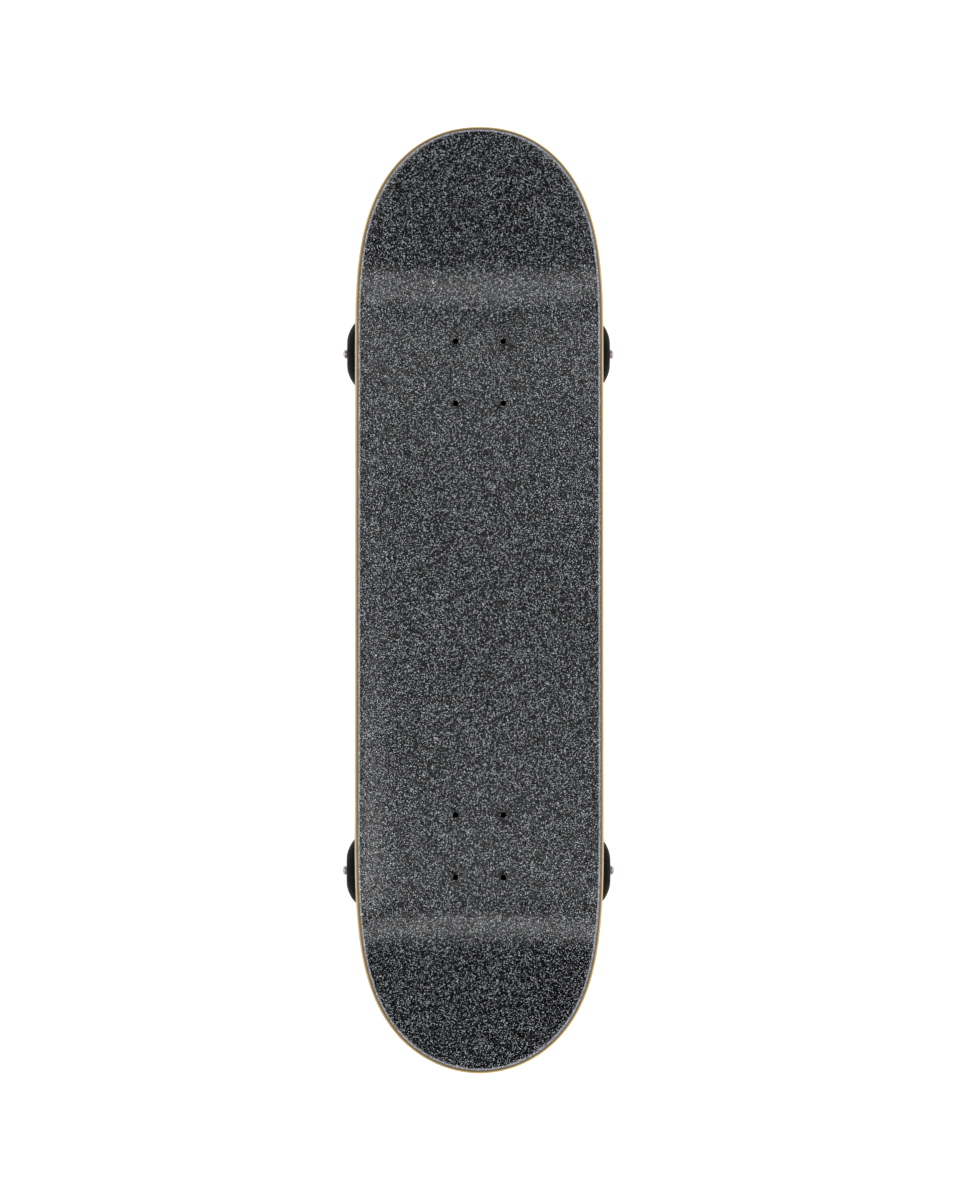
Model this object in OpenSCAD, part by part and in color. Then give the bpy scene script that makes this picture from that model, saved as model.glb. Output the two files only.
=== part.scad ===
// Complete skateboard: seven-ply kicktail deck, two cast trucks, four wheels on ball bearings.
// +X points to the nose, Y runs across the board, +Z is up, and the wheels stand on z = 0.
// The origin is on the ground under the middle of the deck's length.

/* [Deck] */
// Length of the deck, tip to tip, in plan
deck_length = 814.8; // [780:0.1:1000]
// Width of the deck
deck_width = 215.9; // [190:0.1:260]
// Thickness of the seven plies together
deck_thickness = 11; // [9:0.1:14]
// Length of the nose, from its tip to the outer truck bolts
nose_length = 183.5; // [165:0.1:230]
// Length of the tail, from its tip to the outer truck bolts
tail_length = 167.6; // [155:0.1:220]
// Height that each rail rises above the flat middle
concave_rise = 12; // [0:0.5:16]
// Half width of the flat middle, which the baseplates sit on
flat_half_width = 30; // [29:0.5:36]
// Angle of the nose and the tail above the flat
kick_angle = 20; // [10:0.5:28]
// Radius of the bend into each kick
kick_bend_radius = 170; // [90:1:180]
// Flat left beyond the outer bolts before each bend
kick_run_out = 17; // [15:0.5:30]
// Plan inset of the rounded rim at its top and bottom
rim_round = 2.8; // [2:0.1:5]
// Thickness of the grip tape
grip_thickness = 0.9; // [0.5:0.1:1.5]

/* [Outline] */
// Length of the nose's taper in plan
nose_taper = 179; // [150:1:200]
// Fullness of the nose along its length
nose_fullness = 2.9; // [2:0.1:4]
// Roundness of the nose across its width
nose_roundness = 2.14; // [1.8:0.02:2.6]
// Length of the tail's taper in plan
tail_taper = 236; // [200:1:260]
// Fullness of the tail along its length
tail_fullness = 4; // [2:0.1:5]
// Roundness of the tail across its width
tail_roundness = 1.94; // [1.8:0.02:2.6]

/* [Truck bolts] */
// Bolt spacing along the board
bolt_spacing_x = 53.975; // [53.975, 63.5]
// Bolt spacing across the board
bolt_spacing_y = 41.275; // [41.275:0.005:42]
// Diameter of the mounting bolts
bolt_d = 4.8; // [4:0.1:6]
// Length of the mounting bolts, head included
bolt_length = 28; // [25:0.5:34]
// Diameter of the countersunk head
bolt_head_d = 9; // [8:0.1:10]
// Clearance of the bolts in the deck and the baseplates, on the diameter
bolt_clearance = 0.4; // [0.2:0.05:1]
// Extra width of the hole in the grip tape over each bolt
grip_hole_extra = 1.6; // [0.2:0.1:4]

/* [Trucks] */
// Height from the axle's centre to the top of the baseplate
truck_height = 54; // [50:0.5:60]
// Length of the axle, tip to tip
axle_length = 238.8; // [215:0.1:270]
// Diameter of the axle
axle_d = 7.94; // [7.5:0.01:8]
// Distance that the axle lies outward of the bolt pattern's centre
axle_offset = 23.2; // [18:0.1:26]
// Length of the baseplate
base_length = 83; // [80:0.5:90]
// Width of the baseplate
base_width = 57; // [54:0.5:60]
// Thickness of the baseplate's flange
base_thickness = 6; // [5:0.5:8]
// Height of the pivot's centre above the axle
pivot_height = 41; // [39:0.5:42]
// Distance of the pivot's centre outward of the axle
pivot_reach = 6; // [4:0.5:8]
// Height of the yoke's centre above the axle
yoke_height = 21; // [19:0.5:23]
// Distance of the yoke's centre inward of the axle
yoke_reach = 33; // [31:0.5:36]
// Lean of the kingpin, nut end inward
kingpin_lean = 12; // [8:0.5:14]
// Diameter of the kingpin
kingpin_d = 9.52; // [9:0.01:10]
// Height of the board-side bushing
board_bushing_h = 12; // [10:0.5:13]
// Height of the road-side bushing
road_bushing_h = 11; // [9:0.5:12]
// Furthest turn of each hanger to either side
steer_limit = 14; // [8:1:15]

/* [Wheels] */
// Diameter of the wheels
wheel_d = 59; // [52:0.5:64]
// Width of the wheels between their lips
wheel_width = 40; // [34:0.5:44]
// Depth of the rounded side, from the lip to the tread
wheel_side_depth = 10; // [6:0.5:12]
// Fullness of the rounded side: 2 is an ellipse, less is nearer to a cone
wheel_side_fullness = 1.5; // [1.2:0.1:2.5]
// Gap around the bearing in the recess of the wheel's side
recess_clearance = 1; // [0.8:0.1:4]
// Length of the spacer between a wheel's two bearings
spacer_length = 10; // [8:0.5:12]

/* [Bearings] */
// Outer diameter of a bearing
bearing_d = 22; // [22:0.01:22.02]
// Width of a bearing
bearing_width = 7; // [7:0.01:7.02]
// Clearance of the axle in the bearings, on the diameter
bearing_bore_clearance = 0.06; // [0.02:0.01:0.1]
// Diameter of a ball
ball_d = 3.97; // [3.9:0.01:4]
// Balls in a bearing
ball_count = 7; // [6:1:8]

/* [Hidden] */
$fn = 48;

// Heights above the ground
axle_z = wheel_d / 2;
deck_bottom_z = axle_z + truck_height;
deck_middle_z = deck_bottom_z + deck_thickness / 2;
deck_top_z = deck_bottom_z + deck_thickness;

// Places along the board
deck_half = deck_length / 2;
front_bolts_x = deck_half - nose_length - bolt_spacing_x / 2;
rear_bolts_x = -deck_half + tail_length + bolt_spacing_x / 2;
nose_bend_x = front_bolts_x + bolt_spacing_x / 2 + kick_run_out;
tail_bend_x = -rear_bolts_x + bolt_spacing_x / 2 + kick_run_out;
bend_run = kick_bend_radius * sin(kick_angle);
nose_taper_x = deck_half - nose_taper;
tail_taper_x = deck_half - tail_taper;

// ---- Deck ----
// Seven plies of equal thickness, each a thin sheet that follows the kicks and the concave. The
// outline is cut upright, so the rim doesn't lean where the deck does.
ply_count = 7;
ply_thickness = deck_thickness / ply_count;
bend_spans = 5;
tip_spans = 9;
tip_last_angle = 88;
middle_spans = 7;
concave_at_tip = 0.35;
half_columns = [0.28, 0.52, 0.72, 0.87, 1];
across = concat([for (i = [len(half_columns) - 1 : -1 : 0]) -half_columns[i]], half_columns);
tip_half_width = 0.5;

// One end's stations, as distances from the middle, from the bend out to the tip.
function end_stations(bend_x, taper_x, taper, fullness) =
    let (
        bend_end = bend_x + bend_run,
        reached = pow(max(0, (bend_end - taper_x) / taper), fullness / 2),
        first = asin(reached)
    )
    concat(
        [for (i = [0 : bend_spans]) bend_x + bend_run * i / bend_spans],
        [for (i = [1 : tip_spans])
            let (a = first + (tip_last_angle - first) * i / tip_spans)
            taper_x + taper * pow(sin(a), 2 / fullness)]
    );

nose_stations = end_stations(nose_bend_x, nose_taper_x, nose_taper, nose_fullness);
tail_stations = end_stations(tail_bend_x, tail_taper_x, tail_taper, tail_fullness);
middle_stations = [for (i = [1 : middle_spans - 1])
    -tail_bend_x + (nose_bend_x + tail_bend_x) * i / middle_spans];
stations = concat(
    [for (i = [len(tail_stations) - 1 : -1 : 0]) -tail_stations[i]],
    middle_stations,
    nose_stations
);
last = len(stations) - 1;

function taper_half_width(distance, taper, fullness, roundness) =
    deck_width / 2 * pow(max(0, 1 - pow(max(0, distance / taper), fullness)), 1 / roundness);
function half_width(x) = x > 0
    ? taper_half_width(x - nose_taper_x, nose_taper, nose_fullness, nose_roundness)
    : taper_half_width(-x - tail_taper_x, tail_taper, tail_fullness, tail_roundness);
half_widths = [for (x = stations) half_width(x)];

// Distance past the bend, slope, rise and concave at a place along the board
function past_bend(x) = x > 0 ? max(0, x - nose_bend_x) : max(0, -x - tail_bend_x);
function slope(x) = asin(min(past_bend(x), bend_run) / kick_bend_radius);
function rise(x) = kick_bend_radius * (1 - cos(slope(x)))
    + max(0, past_bend(x) - bend_run) * tan(kick_angle);
function kick_length(x) = x > 0 ? deck_half - nose_bend_x : deck_half - tail_bend_x;
function concave(x, y) =
    let (
        beyond = max(0, abs(y) - flat_half_width) / (deck_width / 2 - flat_half_width),
        along = past_bend(x) / kick_length(x)
    )
    concave_rise * pow(beyond, 2) * (1 - (1 - concave_at_tip) * along);

// Plan normal of the outline at a station, as [along, across]
function outline_normal(i) =
    i == 0 ? [-1, 0] : i == last ? [1, 0] :
    let (
        run = stations[i + 1] - stations[i - 1],
        fall = half_widths[i - 1] - half_widths[i + 1],
        size = norm([run, fall])
    )
    [fall / size, run / size];
normals = [for (i = [0 : last]) outline_normal(i)];

// One layer of points at a height above the deck's middle surface, drawn in from the rim
function layer(height, inset) = [
    for (i = [0 : last], t = across)
    let (
        x = stations[i] - inset * normals[i][0],
        y = t * max(tip_half_width, half_widths[i] - inset * normals[i][1]),
        up = height + concave(x, y)
    )
    [x, y, deck_middle_z + rise(x) + up / cos(slope(x))]
];
function rim_inset(height) =
    rim_round * (1 - sqrt(max(0, 1 - pow(height / (deck_thickness / 2), 2))));

// A sheet between two layers
module sheet(low, low_inset, high, high_inset) {
    columns = len(across);
    top = (last + 1) * columns;
    points = concat(layer(low, low_inset), layer(high, high_inset));
    function at(i, j) = i * columns + j;
    faces = concat(
        [for (i = [0 : last - 1], j = [0 : columns - 2], half = [0, 1])
            half == 0 ? [at(i, j), at(i + 1, j), at(i + 1, j + 1)]
                      : [at(i, j), at(i + 1, j + 1), at(i, j + 1)]],
        [for (i = [0 : last - 1], j = [0 : columns - 2], half = [0, 1])
            half == 0 ? [top + at(i, j), top + at(i + 1, j + 1), top + at(i + 1, j)]
                      : [top + at(i, j), top + at(i, j + 1), top + at(i + 1, j + 1)]],
        [for (i = [0 : last - 1], half = [0, 1])
            half == 0 ? [at(i, 0), top + at(i, 0), top + at(i + 1, 0)]
                      : [at(i, 0), top + at(i + 1, 0), at(i + 1, 0)]],
        [for (i = [0 : last - 1], half = [0, 1])
            let (j = columns - 1)
            half == 0 ? [at(i, j), top + at(i + 1, j), top + at(i, j)]
                      : [at(i, j), at(i + 1, j), top + at(i + 1, j)]],
        [for (j = [0 : columns - 2], half = [0, 1])
            half == 0 ? [at(0, j), top + at(0, j + 1), top + at(0, j)]
                      : [at(0, j), at(0, j + 1), top + at(0, j + 1)]],
        [for (j = [0 : columns - 2], half = [0, 1])
            half == 0 ? [at(last, j), top + at(last, j), top + at(last, j + 1)]
                      : [at(last, j), top + at(last, j + 1), at(last, j + 1)]]
    );
    polyhedron(points, faces);
}

// Puts its children at each of the eight mounting bolts, at ground level
module at_bolts() {
    for (x = [front_bolts_x, rear_bolts_x], sx = [-1, 1], sy = [-1, 1])
        translate([x + sx * bolt_spacing_x / 2, sy * bolt_spacing_y / 2, 0]) children();
}

head_depth = (bolt_head_d - bolt_d) / 2;
thread_clearance = 0.01;
overlap = 0.01;

// Space that a bolt and its head take, a little wider than the bolt
module bolt_hole() {
    hole_d = bolt_d + bolt_clearance;
    cylinder(h = deck_top_z + grip_thickness, d = hole_d);
    translate([0, 0, deck_top_z - head_depth - bolt_clearance / 2])
        cylinder(h = head_depth + bolt_clearance / 2 + overlap,
                 d1 = bolt_d + bolt_clearance / 2, d2 = bolt_head_d + bolt_clearance);
}

module ply(number) {
    low = -deck_thickness / 2 + (number - 1) * ply_thickness;
    high = low + ply_thickness;
    color(number == ply_count ? "#cfa868" : number % 2 == 0 ? "#c8a878" : "#d8bc90")
        difference() {
            sheet(low, rim_inset(low), high, rim_inset(high));
            at_bolts() bolt_hole();
        }
}

filed_edge = 1.2;
module grip_tape() {
    low = deck_thickness / 2;
    color("#2f3032") difference() {
        sheet(low, rim_round, low + grip_thickness, rim_round + filed_edge);
        at_bolts() cylinder(h = 2 * deck_top_z, d = bolt_d + grip_hole_extra);
    }
}

// Cross recess in a bolt head
recess_width = 1.1;
recess_length = 4.6;
recess_depth = 1.8;
module mounting_bolts() {
    color("#1d1d1b") at_bolts() difference() {
        union() {
            translate([0, 0, deck_top_z - bolt_length])
                cylinder(h = bolt_length - head_depth + overlap, d = bolt_d);
            translate([0, 0, deck_top_z - head_depth]) cylinder(h = head_depth, d1 = bolt_d, d2 = bolt_head_d);
        }
        translate([0, 0, deck_top_z - recess_depth / 2]) {
            cube([recess_length, recess_width, recess_depth + overlap], center = true);
            cube([recess_width, recess_length, recess_depth + overlap], center = true);
        }
    }
}

nut_af = bolt_d + 4.7;
nut_height = 3.8;
nut_collar = 1.2;
nut_collar_d = nut_af - 1.8;
nut_top_z = deck_bottom_z - base_thickness;
module mounting_nuts() {
    color("#2a2a2a") at_bolts() difference() {
        union() {
            translate([0, 0, nut_top_z - nut_height]) hex(nut_height, nut_af);
            translate([0, 0, nut_top_z - nut_height - nut_collar])
                cylinder(h = nut_collar + overlap, d = nut_collar_d);
        }
        translate([0, 0, nut_top_z - 2 * nut_height]) cylinder(h = 3 * nut_height, d = bolt_d + thread_clearance);
    }
}

// Hexagonal prism by its width across the flats
module hex(h, af) {
    cylinder(h = h, r = af / sqrt(3), $fn = 6);
}

// ---- Trucks ----
// Both are drawn with the axle's centre at the origin and +X pointing away from the board's middle.
module front_truck() {
    translate([front_bolts_x + axle_offset, 0, axle_z]) children();
}
module rear_truck() {
    translate([rear_bolts_x - axle_offset, 0, axle_z]) rotate([0, 0, 180]) children();
}

// The hanger turns about the line from the yoke's centre to the pivot.
steer_angle = atan2(pivot_height - yoke_height, pivot_reach + yoke_reach);
module on_pivot() {
    translate([pivot_reach, 0, pivot_height]) rotate([0, 90 - steer_angle, 0]) children();
}
module on_kingpin() {
    translate([-yoke_reach, 0, yoke_height]) rotate([0, kingpin_lean, 0]) children();
}

// Distances along the kingpin are from the yoke's middle, and up is positive.
kingpin_clearance = 0.04;
yoke_bore_r = kingpin_d / 2 + 2.74;
yoke_thickness = 12;
yoke_seat_depth = 1.5;
seat_w = yoke_thickness / 2 - yoke_seat_depth;
bushing_gap = 0.05;
bushing_wall = 7.44;
bushing_r = kingpin_d / 2 + bushing_wall;
road_bushing_taper = 3.6;
road_bushing_end_r = bushing_r - road_bushing_taper;
bushing_bore_d = kingpin_d + 0.2;
bushing_seat_r = bushing_r + 0.5;
yoke_r = bushing_r + 5.8;
yoke_top_clear_r = yoke_r - 1;
yoke_bottom_clear_r = yoke_r - 3;
washer_thickness = 1.4;
washer_lip = 1.8;
washer_wall = 1;
washer_gap = 0.2;
washer_bore_d = kingpin_d + 0.3;
board_bushing_top = seat_w + bushing_gap + board_bushing_h;
kingpin_seat = board_bushing_top + washer_thickness;
road_bushing_end = seat_w + bushing_gap + road_bushing_h;
kingpin_nut_start = road_bushing_end + washer_thickness;
kingpin_af = kingpin_d + 4.78;
seat_wall = 4;
kingpin_head_start = kingpin_seat + seat_wall;
kingpin_head_h = 5.6;
head_clearance = 0.1;
kingpin_nut_h = 7;
kingpin_nut_collar = 2;
kingpin_nut_collar_d = kingpin_af - 2.4;
thread_showing = 1;
kingpin_end = kingpin_nut_start + kingpin_nut_h + kingpin_nut_collar + thread_showing;

// The boss spreads from the kingpin's seat to the underside of the flange.
boss_r = bushing_r + 1.3;
boss_flare = 3;
boss_clear_r = boss_r + 4;
flange_w = (truck_height - base_thickness - yoke_height) / cos(kingpin_lean);
boss_flare_w = flange_w - 2.65;

pivot_nose_r = 6;
pivot_gap = 0.07;
cup_wall = 2.5;
cup_r = pivot_nose_r + cup_wall;
cup_depth = 10;
cup_clearance = 0.02;
nose_depth = 2;
nose_center = -cup_depth / 2 + nose_depth;
housing_r = cup_r + 3;
housing_back = cup_depth / 2 + 2;
housing_front = 1 - cup_depth / 2;
housing_foot = 16;
rib_width = 8;
rib_depth = 4;

base_center = -axle_offset;
plate_corner_r = 8;
module plate_outline() {
    for (sx = [-1, 1], sy = [-1, 1])
        translate([sx * (base_length / 2 - plate_corner_r), sy * (base_width / 2 - plate_corner_r)])
            circle(r = plate_corner_r);
    square([base_length, base_width - 2 * plate_corner_r], center = true);
    square([base_length - 2 * plate_corner_r, base_width], center = true);
}

module baseplate() {
    color("#b9bbbd") difference() {
        union() {
            translate([base_center, 0, truck_height - base_thickness])
                linear_extrude(base_thickness) plate_outline();
            hull() {
                on_kingpin() translate([0, 0, kingpin_seat])
                    cylinder(h = seat_wall, r = boss_r, $fn = 40);
                on_kingpin() translate([0, 0, boss_flare_w])
                    cylinder(h = 1, r = boss_r + boss_flare, $fn = 40);
            }
            hull() {
                on_pivot() translate([0, 0, housing_front])
                    cylinder(h = housing_back - housing_front, r = housing_r, $fn = 40);
                translate([pivot_reach - housing_foot / 2, -housing_r, truck_height - base_thickness])
                    cube([housing_foot, 2 * housing_r, base_thickness / 2]);
            }
            translate([boss_r - yoke_reach, -rib_width / 2, truck_height - base_thickness - rib_depth])
                cube([yoke_reach - boss_r, rib_width, rib_depth + base_thickness / 2]);
        }
        translate([base_center - base_length, -base_width, truck_height])
            cube([2 * base_length, 2 * base_width, truck_height]);
        on_kingpin() cylinder(h = truck_height, d = kingpin_d + kingpin_clearance);
        on_kingpin() translate([0, 0, kingpin_head_start]) hex(truck_height, kingpin_af + head_clearance);
        on_kingpin() cylinder(h = kingpin_seat, r = boss_clear_r);
        on_pivot() translate([0, 0, -cup_depth]) cylinder(h = 1.5 * cup_depth, r = cup_r + cup_clearance);
        for (sx = [-1, 1], sy = [-1, 1])
            translate([base_center + sx * bolt_spacing_x / 2, sy * bolt_spacing_y / 2, 0])
                cylinder(h = 2 * truck_height, d = bolt_d + bolt_clearance);
    }
}

module pivot_cup() {
    color("#ece7d6") difference() {
        on_pivot() translate([0, 0, -cup_depth / 2]) cylinder(h = cup_depth, r = cup_r);
        on_pivot() translate([0, 0, nose_center]) sphere(r = pivot_nose_r + pivot_gap);
        on_pivot() translate([0, 0, -cup_depth]) cylinder(h = cup_depth + nose_center, r = pivot_nose_r + pivot_gap);
    }
}

module kingpin() {
    color("#3a3b3d") on_kingpin() {
        translate([0, 0, -kingpin_end]) cylinder(h = kingpin_end + kingpin_head_start + overlap, d = kingpin_d);
        translate([0, 0, kingpin_head_start]) hex(kingpin_head_h, kingpin_af);
    }
}

module kingpin_nut() {
    color("#8d8f92") on_kingpin() rotate([180, 0, 0]) difference() {
        union() {
            translate([0, 0, kingpin_nut_start]) hex(kingpin_nut_h, kingpin_af);
            translate([0, 0, kingpin_nut_start + kingpin_nut_h - overlap])
                cylinder(h = kingpin_nut_collar + overlap, d = kingpin_nut_collar_d);
        }
        cylinder(h = 2 * kingpin_end, d = kingpin_d + thread_clearance);
    }
}

// A dished washer whose lip holds a bushing of that radius at the lip; +Z is away from the bushing
module cup_washer(held_r) {
    inner = held_r + washer_gap;
    difference() {
        translate([0, 0, -washer_lip]) cylinder(h = washer_thickness + washer_lip, r = inner + washer_wall);
        translate([0, 0, -2 * washer_lip]) cylinder(h = 2 * washer_lip, r = inner);
        translate([0, 0, -2 * washer_lip]) cylinder(h = 4 * washer_lip, d = washer_bore_d);
    }
}

module cup_washers() {
    road_lip_r = road_bushing_end_r + road_bushing_taper * washer_lip / road_bushing_h;
    color("#7c7e81") on_kingpin() {
        translate([0, 0, board_bushing_top]) cup_washer(bushing_r);
        translate([0, 0, -road_bushing_end]) rotate([180, 0, 0]) cup_washer(road_lip_r);
    }
}

module board_bushing() {
    color("#e9e4d4") on_kingpin() translate([0, 0, seat_w + bushing_gap]) difference() {
        cylinder(h = board_bushing_h, r = bushing_r);
        translate([0, 0, -1]) cylinder(h = board_bushing_h + 2, d = bushing_bore_d);
    }
}

module road_bushing() {
    color("#e9e4d4") on_kingpin() translate([0, 0, -road_bushing_end]) difference() {
        cylinder(h = road_bushing_h, r1 = road_bushing_end_r, r2 = bushing_r);
        translate([0, 0, -1]) cylinder(h = road_bushing_h + 2, d = bushing_bore_d);
    }
}

// Places along the axle, on one side of the board
axle_showing = 3.4;
washer_width = 1;
wheel_middle_y = axle_length / 2 - axle_showing - wheel_width / 2;
bearing_middle = (spacer_length + bearing_width) / 2;
hanger_end_y = wheel_middle_y - spacer_length / 2 - bearing_width - washer_width;
nut_start_y = wheel_middle_y + spacer_length / 2 + bearing_width + washer_width;
axle_nut_h = 7;
axle_nut_collar = 2;
axle_nut_af = axle_d + 4.76;
axle_nut_collar_d = axle_nut_af - 1.6;
axle_press_clearance = 0.02;
hanger_end_r = axle_d / 2 + 5.03;
hanger_swell_r = hanger_end_r + 2;
hanger_mid_r = hanger_end_r + 3;
hanger_neck_length = 15;
hanger_neck_y = hanger_end_y - hanger_neck_length;
hanger_swell_y = hanger_end_y / 2;
hanger_core_y = 26;
stem_length = 11;
stem_shoulder = 6;
stem_base = nose_center - stem_length;
stem_r = pivot_nose_r + 2;

module along_y(from, to, r1, r2) {
    translate([0, from, 0]) rotate([-90, 0, 0]) cylinder(h = to - from, r1 = r1, r2 = r2);
}

module hanger() {
    color("#c3c5c7") difference() {
        union() {
            for (side = [0, 180]) rotate([0, 0, side]) {
                along_y(hanger_neck_y, hanger_end_y, hanger_end_r, hanger_end_r);
                along_y(hanger_swell_y, hanger_neck_y, hanger_swell_r, hanger_end_r);
                along_y(0, hanger_swell_y, hanger_mid_r, hanger_swell_r);
            }
            hull() {
                translate([0, -hanger_core_y, 0]) rotate([-90, 0, 0])
                    cylinder(h = 2 * hanger_core_y, r = hanger_swell_r, $fn = 32);
                on_kingpin() translate([0, 0, -yoke_thickness / 2])
                    cylinder(h = yoke_thickness, r = yoke_r, $fn = 40);
                on_pivot() translate([0, 0, stem_base]) sphere(r = stem_r, $fn = 32);
            }
            on_pivot() translate([0, 0, stem_base]) cylinder(h = stem_shoulder, r1 = stem_r, r2 = pivot_nose_r);
            on_pivot() translate([0, 0, stem_base]) cylinder(h = stem_length, r = pivot_nose_r);
            on_pivot() translate([0, 0, nose_center]) sphere(r = pivot_nose_r);
        }
        on_kingpin() cylinder(h = 2 * kingpin_end, r = yoke_bore_r, center = true);
        on_kingpin() translate([0, 0, seat_w]) cylinder(h = kingpin_end, r = bushing_seat_r);
        on_kingpin() translate([0, 0, -seat_w - kingpin_end]) cylinder(h = kingpin_end, r = bushing_seat_r);
        on_kingpin() translate([0, 0, yoke_thickness / 2]) cylinder(h = kingpin_end, r = yoke_top_clear_r);
        on_kingpin() translate([0, 0, -yoke_thickness / 2 - kingpin_end])
            cylinder(h = kingpin_end, r = yoke_bottom_clear_r);
        ring_bore = (axle_d + axle_press_clearance) / 2;
        along_y(-axle_length, axle_length, ring_bore, ring_bore);
    }
}

axle_round = 1.2;
module axle() {
    color("#a9a6a4") {
        along_y(-axle_length / 2 + axle_round, axle_length / 2 - axle_round, axle_d / 2, axle_d / 2);
        for (side = [0, 180]) rotate([0, 0, side])
            along_y(axle_length / 2 - axle_round - overlap, axle_length / 2, axle_d / 2, axle_d / 2 - axle_round);
    }
}

module axle_nuts() {
    color("#232323") for (side = [0, 180]) rotate([0, 0, side])
        translate([0, nut_start_y, 0]) rotate([-90, 0, 0]) difference() {
            union() {
                hex(axle_nut_h - axle_nut_collar, axle_nut_af);
                cylinder(h = axle_nut_h, d = axle_nut_collar_d);
            }
            translate([0, 0, -1]) cylinder(h = axle_nut_h + 2, d = axle_d + thread_clearance);
        }
}

// A ring about the axle between two places along it
module ring_y(from, to, inner, outer) {
    difference() {
        along_y(from, to, outer, outer);
        along_y(from - 1, to + 1, inner, inner);
    }
}

race_bore_r = (axle_d + bearing_bore_clearance) / 2;
ball_pitch_r = (race_bore_r + bearing_d / 2) / 2;
inner_race_r = ball_pitch_r - 1.5;
outer_race_r = ball_pitch_r + 1.6;
shield_seat_r = bearing_d / 2 - 1.3;
shield_inner_r = inner_race_r + 0.3;
shield_recess = 0.75;
shield_place = bearing_width / 2 - shield_recess;
shield_thickness = 0.4;
shield_clearance = 0.01;
groove_r = ball_d / 2 + 0.06;
spacer_bore_r = axle_d / 2 + 0.08;
washer_bore_r = axle_d / 2 + 0.1;

module both_wheels() {
    for (side = [-1, 1]) translate([0, side * wheel_middle_y, 0]) children();
}
module both_bearings() {
    for (side = [-1, 1]) translate([0, side * bearing_middle, 0]) children();
}

module ball_groove() {
    rotate([90, 0, 0]) rotate_extrude() translate([ball_pitch_r, 0]) circle(r = groove_r);
}

module speed_washers() {
    color("#b9b9b9") for (y = [hanger_end_y, nut_start_y - washer_width, -hanger_end_y - washer_width, -nut_start_y])
        ring_y(y, y + washer_width, washer_bore_r, inner_race_r);
}

module inner_races() {
    color("#9fa1a4") both_wheels() both_bearings() difference() {
        ring_y(-bearing_width / 2, bearing_width / 2, race_bore_r, inner_race_r);
        ball_groove();
    }
}

module spacers() {
    color("#c9cacc") both_wheels()
        ring_y(-spacer_length / 2, spacer_length / 2, spacer_bore_r, inner_race_r);
}

// ---- Wheels ----
// Drawn about the origin, and put in place by wheel_at.
module wheel_at(end, side) {
    x = end > 0 ? front_bolts_x + axle_offset : rear_bolts_x - axle_offset;
    translate([x, side * wheel_middle_y, axle_z]) children();
}

seat_r = bearing_d / 2 + 0.01;
web_bore_r = bearing_d / 2 - 1.3;
recess_r = bearing_d / 2 + recess_clearance;
recess_lip = 0.5;
wheel_lip_r = recess_r + 0.6;
wheel_r = wheel_d / 2;
side_steps = 14;
module wheel() {
    seat_end = spacer_length / 2 + bearing_width;
    flat = wheel_width / 2 - wheel_side_depth;
    side = [for (i = [0 : side_steps]) let (a = 90 * i / side_steps, power = 2 / wheel_side_fullness)
        [wheel_lip_r + (wheel_r - wheel_lip_r) * pow(cos(a), power), flat + wheel_side_depth * pow(sin(a), power)]];
    half = concat(side, [
        [recess_r, wheel_width / 2 - recess_lip], [recess_r, seat_end], [seat_r, seat_end],
        [seat_r, spacer_length / 2], [web_bore_r, spacer_length / 2]
    ]);
    mirrored = [for (i = [len(half) - 1 : -1 : 0]) [half[i][0], -half[i][1]]];
    color("#1c1c1d") rotate([90, 0, 0]) rotate_extrude($fn = 96) polygon(concat(half, mirrored));
}

module outer_races() {
    color("#9fa1a4") both_bearings() difference() {
        ring_y(-bearing_width / 2, bearing_width / 2, outer_race_r, bearing_d / 2);
        along_y(shield_place, bearing_width, shield_seat_r, shield_seat_r);
        along_y(-bearing_width, -shield_place, shield_seat_r, shield_seat_r);
        ball_groove();
    }
}

module shields() {
    color("#6d6f72") both_bearings() for (side = [0, 180]) rotate([0, 0, side])
        ring_y(shield_place, shield_place + shield_thickness, shield_inner_r, shield_seat_r - shield_clearance);
}

module balls() {
    color("#d9dadc") both_bearings() for (i = [0 : ball_count - 1])
        rotate([0, i * 360 / ball_count, 0]) translate([ball_pitch_r, 0, 0]) sphere(d = ball_d);
}

pocket_d = ball_d + 0.1;
cage_half_width = pocket_d / 2 + 0.365;
cage_wall = 0.6;
module cages() {
    color("#c8b07a") both_bearings() difference() {
        ring_y(-cage_half_width, cage_half_width, ball_pitch_r - cage_wall, ball_pitch_r + cage_wall);
        for (i = [0 : ball_count - 1]) rotate([0, i * 360 / ball_count, 0])
            translate([ball_pitch_r, 0, 0]) rotate([0, 90, 0]) cylinder(h = 4 * cage_wall, d = pocket_d, center = true);
    }
}

grip_tape();
ply(1);  // ply_1
ply(2);  // ply_2
ply(3);  // ply_3
ply(4);  // ply_4
ply(5);  // ply_5
ply(6);  // ply_6
ply(7);  // ply_7
mounting_bolts();
mounting_nuts();
front_truck() baseplate();  // front_baseplate
front_truck() pivot_cup();  // front_pivot_cup
front_truck() kingpin();  // front_kingpin
front_truck() kingpin_nut();  // front_kingpin_nut
front_truck() cup_washers();  // front_cup_washers
front_truck() board_bushing();  // front_board_bushing
front_truck() road_bushing();  // front_road_bushing
front_truck() hanger();  // front_hanger
front_truck() axle();  // front_axle
front_truck() axle_nuts();  // front_axle_nuts
front_truck() speed_washers();  // front_speed_washers
front_truck() inner_races();  // front_inner_races
front_truck() spacers();  // front_spacers
rear_truck() baseplate();  // rear_baseplate
rear_truck() pivot_cup();  // rear_pivot_cup
rear_truck() kingpin();  // rear_kingpin
rear_truck() kingpin_nut();  // rear_kingpin_nut
rear_truck() cup_washers();  // rear_cup_washers
rear_truck() board_bushing();  // rear_board_bushing
rear_truck() road_bushing();  // rear_road_bushing
rear_truck() hanger();  // rear_hanger
rear_truck() axle();  // rear_axle
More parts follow.
